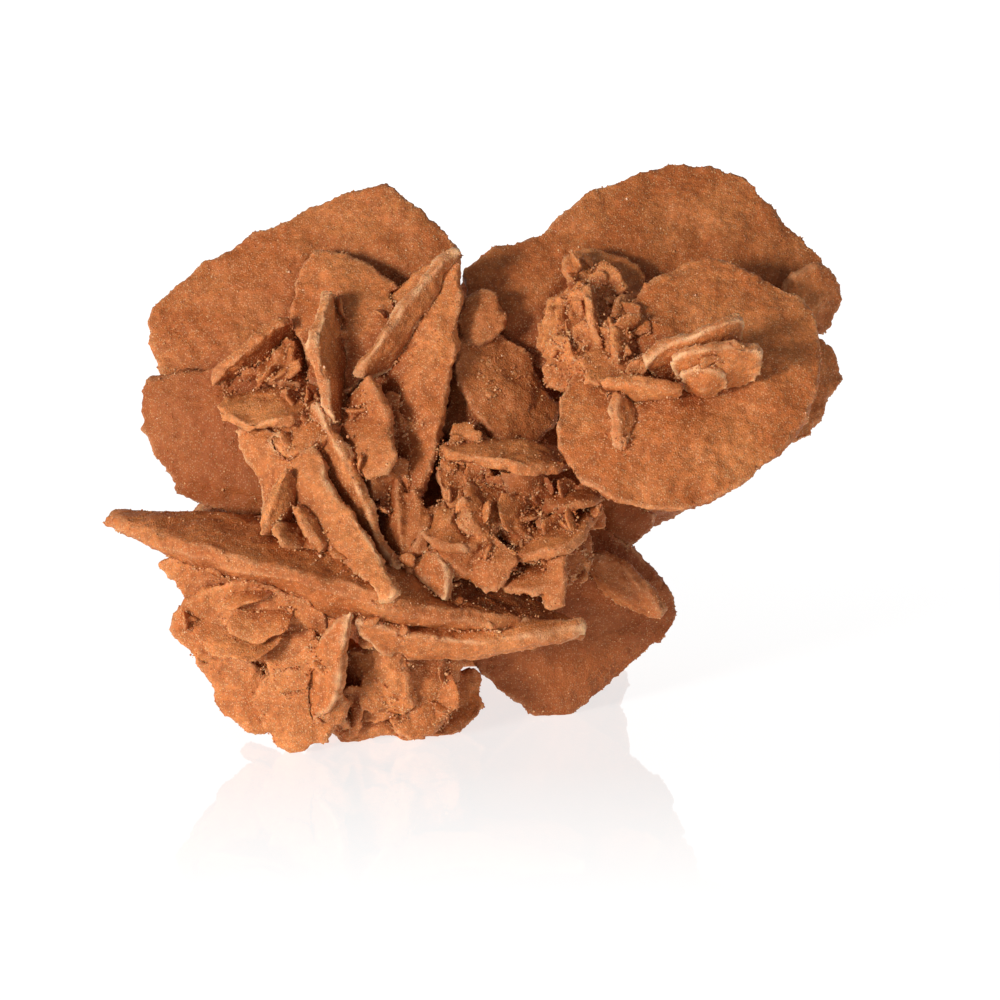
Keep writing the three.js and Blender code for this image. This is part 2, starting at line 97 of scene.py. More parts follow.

# The crystals in the order that they are weathered, by the part of the rose that they belong to.
BROAD_PLATES = [
    "front_ledge", "front_right_plate", "upper_right_plate", "upper_left_plate", "lower_left_plate",
    "bottom_right_plate",
]
UPPER_LEFT = [
    "tall_spear", "white_edged_fin", "spear_companion", "inner_upper_petal", "left_small_fin",
    "left_leaves", "left_block", "triangle_plate", "long_fin", "crossing_leaves", "triangle_fin",
    "ledge_tuft", "frosted_leaf", "stem_tuft",
]
RIGHT = [
    "middle_petal", "inner_right_petal", "gap_tuft", "right_corner_petal", "right_rear_petal",
    "upper_curved_blade", "middle_curved_blade", "lower_curved_blade", "level_blade", "upright_blade",
    "right_rosette",
]
CENTRE = [
    "centre_ledge", "swirl_petal", "centre_wedge", "centre_ridge", "centre_left_tuft",
    "centre_right_tuft", "under_right_petal", "bottom_right_fin",
]
LOWER_LEFT = [
    "lower_spear", "bowl_petal", "under_ledge_petal", "lower_left_petal", "bottom_keel",
    "lower_middle_petal", "lower_right_petal", "base_tuft", "ledge_lower_plate",
]
REAR = [
    "heart_plate", "rear_shelf", "middle_keel", "rear_left_keel", "rear_right_keel", "rear_left_wing",
    "rear_left_petal", "rear_right_petal", "rear_cross_plate", "rear_left_foot", "rear_right_foot",
]

# How much painted shade darkens a crystal's amber, from 0 to 1, for the crystals that lie in shade, under
# overhangs or far inside the rose.
SHADED_CRYSTALS = {
    "bottom_right_plate": 0.75, "under_right_petal": 0.7, "bottom_right_fin": 0.55, "middle_petal": 0.45,
    "inner_right_petal": 0.45, "gap_tuft": 0.5, "centre_wedge": 0.45, "centre_ridge": 0.3,
    "centre_right_tuft": 0.45, "centre_left_tuft": 0.3, "swirl_petal": 0.2, "stem_tuft": 0.3,
    "heart_plate": 0.8, "rear_shelf": 0.4, "crossing_leaves": 0.25, "spear_companion": 0.2,
    "upper_right_plate": 0.2, "under_ledge_petal": 0.1, "lower_left_plate": 0.7, "front_ledge": 0.15,
    "upper_left_plate": 0.25,
}

crystals = []  # the finished crystal pieces, which the small blades and the sand settle on


class CrystalSettings(bpy.types.PropertyGroup):
    """How the crystals are weathered."""

    skin: bpy.props.FloatProperty(
        name="Skin cell", description="Size of a cell of the crystals' skin", default=0.36 * MM,
        min=0.2 * MM, unit="LENGTH", subtype="DISTANCE")
    knit: bpy.props.FloatProperty(
        name="Knit", description="How far a crystal swells to knit with its neighbours",
        default=0.28 * MM, unit="LENGTH", subtype="DISTANCE")
    bend: bpy.props.FloatProperty(
        name="Bend", description="How far a crystal wanders from its true shape", default=2.6 * MM,
        unit="LENGTH", subtype="DISTANCE")
    ragged: bpy.props.FloatProperty(
        name="Ragged rims", description="How far the rims are eaten away or built up",
        default=1.6 * MM, unit="LENGTH", subtype="DISTANCE")
    lumps: bpy.props.FloatProperty(
        name="Lumps", description="Height of the low lumps on the faces", default=0.9 * MM,
        unit="LENGTH", subtype="DISTANCE")
    crumbs: bpy.props.FloatProperty(
        name="Crumbs", description="Height of the crumbs along the rims", default=0.55 * MM,
        unit="LENGTH", subtype="DISTANCE")
    sugar: bpy.props.FloatProperty(
        name="Sugar", description="Height of the sugary coat", default=0.32 * MM, unit="LENGTH",
        subtype="DISTANCE")
    # Painted shade: how far the crowding of other crystals is felt when the clefts are painted darker and
    # redder.
    shade_reach: bpy.props.FloatProperty(
        name="Reach_of_shade", description="How far from other crystals the gypsum is reddened", default=4 * MM,
        min=2 * MM, unit="LENGTH", subtype="DISTANCE")


class PetalSettings(bpy.types.PropertyGroup):
    """The small petals of the rosettes and the scales in the clefts."""

    skin: bpy.props.FloatProperty(
        name="Skin cell", description="Size of a cell of the petals' skin", default=0.27 * MM,
        min=0.2 * MM, unit="LENGTH", subtype="DISTANCE")
    thickness: bpy.props.FloatProperty(
        name="Thickness", description="Mean thickness of a small petal", default=1.05 * MM,
        unit="LENGTH", subtype="DISTANCE")
    scales: bpy.props.IntProperty(
        name="Scales", description="How many small scales grow in the clefts", default=220, min=0)
    scale_length: bpy.props.FloatProperty(
        name="Scale length", description="Mean length of a scale", default=2.9 * MM, unit="LENGTH",
        subtype="DISTANCE")


class SandSettings(bpy.types.PropertyGroup):
    """The sand that sticks to the rose."""

    cleft_grains: bpy.props.IntProperty(
        name="Grains in clefts", description="How many grains lie in the clefts", default=15000, min=0)
    face_grains: bpy.props.IntProperty(
        name="Grains on faces", description="How many grains stick to faces and rims", default=24500, min=0)
    size: bpy.props.FloatProperty(
        name="Grain", description="Mean size of a sand grain", default=0.3 * MM, unit="LENGTH",
        subtype="DISTANCE")


class ColourSettings(bpy.types.PropertyGroup):
    """The colours of the gypsum and its sand."""

    amber: bpy.props.FloatVectorProperty(
        name="Amber", description="Body colour of the gypsum", default=(0.46, 0.128, 0.030),
        size=3, min=0, max=1, subtype="COLOR")
    sandy: bpy.props.FloatVectorProperty(
        name="Sandy", description="Colour where sand fills the gypsum", default=(0.63, 0.220, 0.066),
        size=3, min=0, max=1, subtype="COLOR")
    # Partly a real frosty paleness, partly a painted highlight and edge glow on the rims.
    frost_and_highlight: bpy.props.FloatVectorProperty(
        name="Frost", description="Colour of the frosted rims", default=(0.82, 0.46, 0.235),
        size=3, min=0, max=1, subtype="COLOR")
    # Painted shade: the dark red that the hollows and the crowded clefts are painted with; the dark sugar
    # grains borrow it.
    cleft: bpy.props.FloatVectorProperty(
        name="Cleft", description="Colour deep in the clefts", default=(0.235, 0.044, 0.007),
        size=3, min=0, max=1, subtype="COLOR")
    # Painted shade: the body colour of the crystals that lie in shade.
    shaded: bpy.props.FloatVectorProperty(
        name="Deep amber", description="Body colour of the deepest crystals", default=(0.27, 0.060, 0.010),
        size=3, min=0, max=1, subtype="COLOR")
    grain: bpy.props.FloatVectorProperty(
        name="Sand grain", description="Colour of the pale quartz grains", default=(0.90, 0.54, 0.27),
        size=3, min=0, max=1, subtype="COLOR")


class StageSettings(bpy.types.PropertyGroup):
    """The floor, the camera and the light."""

    elevation: bpy.props.FloatProperty(
        name="Elevation", description="How far the camera looks down", default=math.radians(15),
        subtype="ANGLE")
    distance: bpy.props.FloatProperty(
        name="Distance", description="From the camera to the point it looks at", default=525 * MM,
        unit="LENGTH", subtype="DISTANCE")
    target: bpy.props.FloatVectorProperty(
        name="Target", description="The point that the camera looks at",
        default=(3.2 * MM, -13.7 * MM, 33.8 * MM), size=3, unit="LENGTH", subtype="XYZ")
    lens: bpy.props.FloatProperty(
        name="Lens", description="Focal length in millimetres", default=135)
    key_place: bpy.props.FloatVectorProperty(
        name="Key light", description="Where the key light stands", default=(-0.74, -0.78, 0.22), size=3,
        unit="LENGTH", subtype="XYZ")
    key_size: bpy.props.FloatProperty(
        name="Key size", description="Width of the key light", default=0.26, unit="LENGTH",
        subtype="DISTANCE")
    key_power: bpy.props.FloatProperty(
        name="Key power", description="Power of the key light in watts", default=11.0)
    fill: bpy.props.FloatProperty(
        name="Fill", description="Strength of the white light from all around", default=0.165, min=0)
    gloss_far: bpy.props.FloatProperty(
        name="Gloss ends", description="Where the floor's gloss ends in front of the rose",
        default=-88 * MM, unit="LENGTH", subtype="DISTANCE")
    gloss_near: bpy.props.FloatProperty(
        name="Gloss is full", description="Where the floor's gloss is full", default=-30 * MM,
        unit="LENGTH", subtype="DISTANCE")


# ---- Modelling helpers -------------------------------------------------------------------------------------


def link(piece):
    bpy.context.scene.collection.objects.link(piece)
    return piece


def settle(piece):
    """The piece's modifiers become its mesh."""
    graph = bpy.context.evaluated_depsgraph_get()
    mesh = bpy.data.meshes.new_from_object(piece.evaluated_get(graph))
    old = piece.data
    piece.modifiers.clear()
    piece.data = mesh
    bpy.data.meshes.remove(old)
    mesh.name = piece.name


def places_and_normals(mesh):
    places = np.empty(len(mesh.vertices) * 3, np.float32)
    normals = np.empty(len(mesh.vertices) * 3, np.float32)
    mesh.vertices.foreach_get("co", places)
    mesh.vertices.foreach_get("normal", normals)
    return places.reshape(-1, 3), normals.reshape(-1, 3)


def relief(mesh, rounds):
    """How far each point stands proud of the surface around it: above 0 on rims, below 0 in hollows.

    Each round averages the places a little further out, so more rounds feel broader rims.
    """
    places, normals = places_and_normals(mesh)
    edges = np.empty(len(mesh.edges) * 2, np.int64)
    mesh.edges.foreach_get("vertices", edges)
    a, b = edges.reshape(-1, 2).T
    degree = np.bincount(edges, minlength=len(places)).clip(1)[:, None]
    around = places.astype(float)
    for _ in range(rounds):
        total = np.zeros_like(around)
        for axis in range(3):
            total[:, axis] = np.bincount(a, around[b, axis], len(places)) + np.bincount(
                b, around[a, axis], len(places))
        around = 0.5 * around + 0.5 * total / degree
    return ((places - around) * normals).sum(1)


def store(mesh, name, values):
    """Keeps one number for each point of the mesh, for its material to read."""
    layer = mesh.attributes.get(name) or mesh.attributes.new(name, "FLOAT", "POINT")
    layer.data.foreach_set("value", values.astype(np.float32))


def recall(mesh, name):
    """The numbers that `store` kept."""
    values = np.empty(len(mesh.vertices), np.float32)
    mesh.attributes[name].data.foreach_get("value", values)
    return values


def cloud(name, size, kind="GRAYSCALE", depth=2):
    """A cloudy pattern whose blotches are about `size` across."""
    texture = bpy.data.textures.get(name) or bpy.data.textures.new(name, "CLOUDS")
    texture.noise_scale = size
    texture.noise_depth = depth
    texture.cloud_type = kind
    return texture


def push(piece, texture, strength, direction="NORMAL", group=""):
    """Moves the skin in and out by a cloudy pattern."""
    step = piece.modifiers.new(texture.name, "DISPLACE")
    step.texture = texture
    step.texture_coords = "LOCAL"
    step.direction = direction
    step.strength = strength
    step.mid_level = 0.5
    step.vertex_group = group


def ease(values, low, high):
    """Values from 0 at `low` to 1 at `high`, with a soft start and a soft end."""
    t = np.clip((values - low) / (high - low), 0, 1)
    return t * t * (3 - 2 * t)


def dress(piece, slot, skin_cell, rounds, rough=1.0, painted_shade=0.0):
    """Gives raw closed shapes one sugary skin, with ragged rims and shallow lumps.

    `rounds` is how far a rim or a hollow is felt, `rough` scales the relief and the last argument darkens the
    amber all over as painted shade, for a crystal that lies in shade.
    """
    settings = bpy.context.scene.sand_rose_crystals
    skin = piece.modifiers.new("skin", "REMESH")
    skin.mode = "VOXEL"
    skin.voxel_size = skin_cell
    skin.use_smooth_shade = True
    soften = piece.modifiers.new("soften", "SMOOTH")
    soften.factor = 0.5
    soften.iterations = 3
    settle(piece)

    rim = ease(relief(piece.data, rounds), RIM_STARTS, RIM_FULL)
    store(piece.data, "rim", rim)
    group = piece.vertex_groups.new(name="rim")
    level_of = np.round(rim * RIM_LEVELS)
    for level in range(1, RIM_LEVELS + 1):
        members = np.nonzero(level_of == level)[0].tolist()
        if members:
            group.add(members, level / RIM_LEVELS, "REPLACE")
    push(piece, cloud("bending", BENDING, "COLOR"), settings.bend, "RGB_TO_XYZ")
    push(piece, cloud("rim_bites", RIM_BITES, "COLOR", 3), rough * settings.ragged, "RGB_TO_XYZ", "rim")
    push(piece, cloud("lumps", LUMPS, depth=3), rough * settings.lumps)
    push(piece, cloud("rim_crumbs", RIM_CRUMBS, depth=1), rough * settings.crumbs, "NORMAL", "rim")
    push(piece, cloud("sugar", SUGAR, depth=1), rough * settings.sugar)
    settle(piece)
    places, _ = places_and_normals(piece.data)
    places[:, 2] = places[:, 2].clip(0, None)
    piece.data.vertices.foreach_set("co", places.ravel())
    piece.data.update()
    # Painted shade: the hollows of the skin get a weight that darkens and reddens them.
    store(piece.data, "cleft", ease(-relief(piece.data, rounds), HOLLOW_STARTS, HOLLOW_FULL))
    # Painted shade: a crystal that lies in shade gets one darker weight all over.
    store(piece.data, "painted_shade", np.full(len(piece.data.vertices), painted_shade))
    piece.data.materials.clear()
    piece.data.materials.append(gypsum(slot))
    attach(piece, BODY)
    crystals.append(piece)


def weather(node, coarser):
    """Makes the crystal that stands for one CAD node and knits it to its neighbours."""
    settings = bpy.context.scene.sand_rose_crystals
    bm = bmesh.new()
    bm.from_mesh(frame["nodes"][node].data)
    bmesh.ops.remove_doubles(bm, verts=bm.verts, dist=0.001 * MM)
    bm.normal_update()
    for corner in bm.verts:
        corner.co += corner.normal * settings.knit
    mesh = bpy.data.meshes.new(node + "_crystal")
    bm.to_mesh(mesh)
    bm.free()
    piece = link(bpy.data.objects.new(node + "_crystal", mesh))
    dress(piece, SLOTS[node], coarser * settings.skin, CRYSTAL_ROUNDS, painted_shade=SHADED_CRYSTALS.get(node, 0.0))
    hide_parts(node)


def template(shape, **how):
    """The places and faces of one bmesh shape, which is then laid down many times."""
    bm = bmesh.new()
    shape(bm, **how)
    places = np.array([v.co for v in bm.verts])
    faces = np.array([[v.index for v in face.verts] for face in bm.faces])
    bm.free()
    return places, faces


def lay_down(name, faces, copies):
    """One piece that holds many copies of a template; `copies` has the places of each."""
    many, size, _ = copies.shape
    rows = faces[None] + size * np.arange(many)[:, None, None]
    mesh = bpy.data.meshes.new(name)
    mesh.from_pydata(copies.reshape(-1, 3), [], rows.reshape(-1, faces.shape[1]))
    return link(bpy.data.objects.new(name, mesh))


def unit(vector):
    return np.array(vector) / np.linalg.norm(vector)


def petal(lens, foot, stem, face, length, width, thick, curl, rng):
    """The places of a petal that grows from `foot` along `stem`; `face` points out of its back."""
    stem = unit(stem)
    face = unit(face - stem * np.dot(face, stem))
    side = np.cross(stem, face)
    u, w, t = (2 * lens).T
    angle = np.arctan2(w, u)
    phase = rng.uniform(0, 6.3)
    uneven = 1 + 0.10 * np.sin(3 * angle + phase) + 0.06 * np.sin(7 * angle + 2 * phase)
    u, w = u * uneven, w * uneven * (0.88 + 0.16 * u)
    return (
        np.asarray(foot)
        + np.outer(length * (0.42 + 0.5 * u), stem)
        + np.outer(width / 2 * w, side)
        + np.outer(thick / 2 * t - curl * width * w * w + 0.5 * curl * length * u * u, face)
    )


def rosette(lens, centre, axis, count, length, rng):
    """Petals in a spiral, half open in the middle and lying flat at the rim of the rosette."""
    axis = unit(axis)
    first = unit(np.cross(axis, (0.3, 0.2, 1.0)))
    second = np.cross(axis, first)
    thick = bpy.context.scene.sand_rose_petals.thickness
    start = rng.uniform(0, 6.3)
    grown = []
    for i in range(count):
        part = (i + 0.5) / count
        turn = start + SPIRAL * i + rng.normal(0, 0.15)
        away = math.cos(turn) * first + math.sin(turn) * second
        opening = 0.60 + 0.62 * part + rng.normal(0, 0.12)
        stem = math.cos(opening) * axis + math.sin(opening) * away
        face = math.cos(opening) * away - math.sin(opening) * axis
        long = length * (0.62 + 0.5 * part) * rng.uniform(0.85, 1.15)
        wide = long * rng.uniform(0.8, 1.1)
        foot = np.array(centre) * MM + away * length * 0.30 * math.sqrt(part) - axis * length * 0.35
        grown.append(petal(lens, foot, stem, face, long, wide, thick, rng.uniform(0.1, 0.2), rng))
    return grown


def survey(share):
    """A seeded sample of points on all crystals: places, normals, rims and the crystal that each is on."""
    rng = np.random.default_rng(7)
    rows = []
    for number, piece in enumerate(crystals):
        places, normals = places_and_normals(piece.data)
        rim = recall(piece.data, "rim")
        kept = rng.random(len(places)) < share
        owner = np.full((kept.sum(), 1), number)
        rows.append(np.hstack([places[kept], normals[kept], rim[kept, None], owner]))
    return np.vstack(rows)


def clefts(points, reach):
    """Where two crystals meet within `reach` at an angle: [(place, way out, line of the cleft)]."""
    tree = KDTree(len(points))
    for i, row in enumerate(points):
        tree.insert(row[:3], i)
    tree.balance()
    found = []
    for i in range(0, len(points), CLEFT_STEP):
        row = points[i]
        near = [j for _, j, _ in tree.find_range(row[:3], reach) if points[j][7] != row[7]]
        if not near:
            continue
        other = points[near[0]]
        out = Vector(row[3:6]) + Vector(other[3:6])
        if out.length < CLEFT_OPENS:
            continue
        line = Vector(row[3:6]).cross(Vector(other[3:6]))
        if line.length < CLEFT_BENDS:
            continue
        place = (Vector(row[:3]) + Vector(other[:3])) / 2
        found.append((place, out.normalized(), line.normalized()))
    return found


def blurred(grid):
    """The grid averaged three times over five cells along each axis."""
    for axis in (0, 1, 2) * 3:
        grid = sum(np.roll(grid, step, axis) for step in range(-2, 3)) / 5
    return grid


def crowding(reach):
    """A function that says how crowded with gypsum the space around given places is, from 0 to 1."""
    skins = [places_and_normals(piece.data)[0] for piece in crystals]
    margin = 4 * reach
    low = np.min([skin.min(0) for skin in skins], 0) - margin
    high = np.max([skin.max(0) for skin in skins], 0) + margin
    cell = reach / 4
    shape = np.ceil((high - low) / cell).astype(int)
    grid = np.zeros(shape)
    for skin in skins:
        i, j, k = ((skin - low) / cell).astype(int).T
        grid[i, j, k] = 1
    grid = blurred(grid)

    def at(places):
        i, j, k = ((places - low) / cell).astype(int).clip(0, shape - 1).T
        return grid[i, j, k]

    return at


# ---- Finishes ----------------------------------------------------------------------------------------------


def nodes_of(tree):
    """A short way to add nodes and links to a node tree."""

    def add(kind, inputs=(), **settings):
        node = tree.nodes.new(kind)
        for key, value in settings.items():
            setattr(node, key, value)
        for key, value in dict(inputs).items():
            if isinstance(value, bpy.types.NodeSocket):
                tree.links.new(value, node.inputs[key])
            else:
                node.inputs[key].default_value = value
        return node

    return add


def mix(add, factor, first, second, kind="RGBA"):
    """A mix of two colours or two numbers, each of which may be a value or a socket."""
    node = add("ShaderNodeMix", data_type=kind)
    factor_socket, a, b = {"RGBA": (0, 6, 7), "FLOAT": (0, 2, 3)}[kind]
    for index, value in ((factor_socket, factor), (a, first), (b, second)):
        socket = node.inputs[index]
        if isinstance(value, bpy.types.NodeSocket):
            node.id_data.links.new(value, socket)
        else:
            socket.default_value = value
    return node.outputs[{"RGBA": 2, "FLOAT": 0}[kind]]


def sugar_group():
    """The sugary grains that all gypsum shares: pale and dark grains as masks, and their height."""
    tree = bpy.data.node_groups.get("Sugary grains")
    if tree:
        return tree
    tree = bpy.data.node_groups.new("Sugary grains", "ShaderNodeTree")
    side = tree.interface
    side.new_socket("Vector", in_out="INPUT", socket_type="NodeSocketVector")
    side.new_socket("Pale share", in_out="INPUT", socket_type="NodeSocketFloat")
    side.new_socket("Dark share", in_out="INPUT", socket_type="NodeSocketFloat")
    side.new_socket("Pale", in_out="OUTPUT", socket_type="NodeSocketFloat")
    side.new_socket("Dark", in_out="OUTPUT", socket_type="NodeSocketFloat")
    side.new_socket("Height", in_out="OUTPUT", socket_type="NodeSocketFloat")
    add = nodes_of(tree)
    ends = add("NodeGroupInput"), add("NodeGroupOutput")
    grains = add("ShaderNodeTexVoronoi", {"Vector": ends[0].outputs["Vector"], "Scale": 3900.0})
    fine = add("ShaderNodeTexVoronoi", {"Vector": ends[0].outputs["Vector"], "Scale": 6500.0})
    chance = add("ShaderNodeSeparateColor", {"Color": grains.outputs["Color"]})
    core = add("ShaderNodeMath", {0: grains.outputs["Distance"], 1: 0.42}, operation="LESS_THAN")
    pale = add("ShaderNodeMath", {0: chance.outputs["Red"], 1: ends[0].outputs["Pale share"]},
               operation="LESS_THAN")
    dark = add("ShaderNodeMath", {0: chance.outputs["Green"], 1: ends[0].outputs["Dark share"]},
               operation="LESS_THAN")
    pale_core = add("ShaderNodeMath", {0: pale.outputs[0], 1: core.outputs[0]}, operation="MULTIPLY")
    dark_core = add("ShaderNodeMath", {0: dark.outputs[0], 1: core.outputs[0]}, operation="MULTIPLY")
    bump = add("ShaderNodeMath", {0: fine.outputs["Distance"], 1: -0.5, 2: 0.5}, operation="MULTIPLY_ADD")
    grain_bump = add("ShaderNodeMath", {0: grains.outputs["Distance"], 1: -0.9, 2: bump.outputs[0]},
                     operation="MULTIPLY_ADD")
    tree.links.new(pale_core.outputs[0], ends[1].inputs["Pale"])
    tree.links.new(dark_core.outputs[0], ends[1].inputs["Dark"])
    tree.links.new(grain_bump.outputs[0], ends[1].inputs["Height"])
    return tree


def rgba(colour):
    return (*colour, 1.0)


# How each kind of gypsum looks: share of pale grains, share of dark grains, sand in the body, frosty paleness
# and painted highlight on rims.
FINISHES = {
    "amber_gypsum": (0.34, 0.14, 0.40, 0.40),
    "sandy_gypsum": (0.36, 0.12, 0.70, 0.30),
    "frosted_gypsum": (0.34, 0.12, 0.50, 1.20),
}


def gypsum(slot):
    """The gypsum of one slot: amber and waxy inside, sandy outside, with rims paled partly by a frosty skin
    and partly by a painted highlight, painted shade in the hollows and crowded clefts, and painted shade all
    over the crystals that lie in shade.
    """
    name = "weathered_" + slot
    material = bpy.data.materials.get(name)
    if material:
        return material
    colours = bpy.context.scene.sand_rose_colours
    pale_share, dark_share, sandiness, frost_and_highlight_share = FINISHES[slot]
    material = bpy.data.materials.new(name)
    material.use_nodes = True
    tree = material.node_tree
    tree.nodes.clear()
    add = nodes_of(tree)

    def times(value, factor, **settings):
        return add("ShaderNodeMath", {0: value, 1: factor}, operation="MULTIPLY", **settings).outputs[0]

    place = add("ShaderNodeTexCoord").outputs["Object"]
    rim = add("ShaderNodeAttribute", attribute_name="rim").outputs["Fac"]
    cleft = add("ShaderNodeAttribute", attribute_name="cleft").outputs["Fac"]
    painted_shade = add("ShaderNodeAttribute", attribute_name="painted_shade").outputs["Fac"]

    patches = add("ShaderNodeTexNoise", {"Vector": place, "Scale": 95.0, "Detail": 4.0, "Roughness": 0.62})
    spread = add("ShaderNodeMapRange", {
        "Value": patches.outputs["Fac"], "From Min": 0.40, "From Max": 0.62,
        "To Min": sandiness - 0.45, "To Max": sandiness + 0.35})
    body = mix(add, spread.outputs[0], rgba(colours.amber), rgba(colours.sandy))
    mottle = add("ShaderNodeTexNoise", {"Vector": place, "Scale": 900.0, "Detail": 3.0, "Roughness": 0.7})
    mottling = add("ShaderNodeMapRange", {
        "Value": mottle.outputs["Fac"], "From Min": 0.38, "From Max": 0.62, "To Min": 0.80, "To Max": 1.2})
    body = add("ShaderNodeVectorMath", {0: body, "Scale": mottling.outputs[0]}, operation="SCALE").outputs[0]
    # Painted shade: the hollows and the crowded clefts are darkened and reddened.
    body = mix(add, times(cleft, 0.8), body, rgba(colours.cleft))
    # Painted shade: a crystal that lies in shade is darkened all over towards a darker amber.
    body = mix(add, painted_shade, body, rgba(colours.shaded))

    # Frosty rims with a painted highlight: the rims are paled in patches, partly for their real frosty skin
    # and partly for light that catches them and glows through them.
    frost_and_highlight_patches = add("ShaderNodeTexNoise", {"Vector": place, "Scale": 260.0, "Detail": 3.0})
    frost_and_highlight_here = add("ShaderNodeMapRange", {
        "Value": frost_and_highlight_patches.outputs["Fac"], "From Min": 0.42, "From Max": 0.62, "To Min": 0.25,
        "To Max": 1.0})
    frosted_and_lit = times(rim, frost_and_highlight_here.outputs[0])
    frosted_and_lit = times(frosted_and_lit, frost_and_highlight_share, use_clamp=True)
    body = mix(add, frosted_and_lit, body, rgba(colours.frost_and_highlight))

    sugar = add("ShaderNodeGroup", node_tree=sugar_group())
    tree.links.new(place, sugar.inputs["Vector"])
    sugar.inputs["Pale share"].default_value = pale_share
    sugar.inputs["Dark share"].default_value = dark_share
    # Painted shade also thins out the pale grains on a crystal that lies in shade.
    fewer = add("ShaderNodeMath", {0: painted_shade, 1: -0.6, 2: 1.0}, operation="MULTIPLY_ADD").outputs[0]
    pale = times(times(sugar.outputs["Pale"], 0.38), fewer)
    dark = times(sugar.outputs["Dark"], 0.26)
    body = mix(add, pale, body, rgba(colours.grain))
    # The dark grains are real dark specks, in the colour of the painted shade in the clefts.
    body = mix(add, dark, body, rgba(colours.cleft))

    dullness = mix(add, pale, 0.62, 0.3, "FLOAT")
    bump = add("ShaderNodeBump", {"Height": sugar.outputs["Height"], "Strength": 0.7, "Distance": 0.14 * MM})
    skin = add("ShaderNodeBsdfPrincipled", {
        "Base Color": body, "Roughness": dullness, "Normal": bump.outputs[0], "IOR": 1.45,
        "Specular IOR Level": 0.3,
        "Subsurface Weight": 0.25, "Subsurface Radius": (1.0, 0.36, 0.12), "Subsurface Scale": 1.2 * MM})
    output = add("ShaderNodeOutputMaterial")
    tree.links.new(skin.outputs[0], output.inputs["Surface"])
    return material


def quartz():
    """Sand grains from amber to pale, the palest ones slightly glassy."""
    material = bpy.data.materials.get("quartz_sand")
    if material:
        return material
    material = bpy.data.materials.new("quartz_sand")
    material.use_nodes = True
    tree = material.node_tree
    tree.nodes.clear()
    add = nodes_of(tree)
    colours = bpy.context.scene.sand_rose_colours
    place = add("ShaderNodeTexCoord").outputs["Object"]
    each = add("ShaderNodeTexVoronoi", {"Vector": place, "Scale": 1400.0})
    tint = add("ShaderNodeSeparateColor", {"Color": each.outputs["Color"]}).outputs["Red"]
    shade = add("ShaderNodeMapRange", {"Value": tint, "From Min": 0.2, "To Max": 0.75}).outputs[0]
    body = mix(add, shade, rgba(colours.amber), rgba(colours.grain))
    gloss = mix(add, tint, 0.6, 0.35, "FLOAT")
    skin = add("ShaderNodeBsdfPrincipled", {
        "Base Color": body, "Roughness": gloss, "IOR": 1.52, "Subsurface Weight": 0.3,
        "Subsurface Radius": (1.0, 0.6, 0.3), "Subsurface Scale": 0.4 * MM})
    output = add("ShaderNodeOutputMaterial")
    tree.links.new(skin.outputs[0], output.inputs["Surface"])
    return material


# ---- Operators ---------------------------------------------------------------------------------------------


def weather_all(nodes, coarser=1.0):
    """Weathers the crystals of one group; `coarser` scales the cells of their skin."""
    for node in nodes:
        weather(node, coarser)
    return {"FINISHED"}


class SANDROSE_OT_broad_plates(bpy.types.Operator):
    """Weather the front ledge and the broad plates"""

    bl_idname = "sandrose.broad_plates"
    bl_label = "Broad plates"

    def execute(self, context):
        return weather_all(BROAD_PLATES)


class SANDROSE_OT_upper_left_rosette(bpy.types.Operator):
    """Weather the upper left rosette and the blades that run down to the ledge"""

    bl_idname = "sandrose.upper_left_rosette"
    bl_label = "Upper left rosette"

    def execute(self, context):
        return weather_all(UPPER_LEFT)


class SANDROSE_OT_right_rosette(bpy.types.Operator):
    """Weather the right rosette and the crystals between the two upper rosettes"""

    bl_idname = "sandrose.right_rosette"
    bl_label = "Right rosette"

    def execute(self, context):
        return weather_all(RIGHT)


class SANDROSE_OT_centre_rosette(bpy.types.Operator):
    """Weather the centre rosette and the lower right crystals"""

    bl_idname = "sandrose.centre_rosette"
    bl_label = "Centre rosette"

    def execute(self, context):
        return weather_all(CENTRE)


class SANDROSE_OT_lower_left_rosette(bpy.types.Operator):
    """Weather the rosette under the ledge"""

    bl_idname = "sandrose.lower_left_rosette"
    bl_label = "Lower left rosette"

    def execute(self, context):
        return weather_all(LOWER_LEFT)


class SANDROSE_OT_rear_crystals(bpy.types.Operator):
    """Weather the crystals within and behind the rose"""

    bl_idname = "sandrose.rear_crystals"
    bl_label = "Rear crystals"

    def execute(self, context):
        return weather_all(REAR, REAR_SKIN)


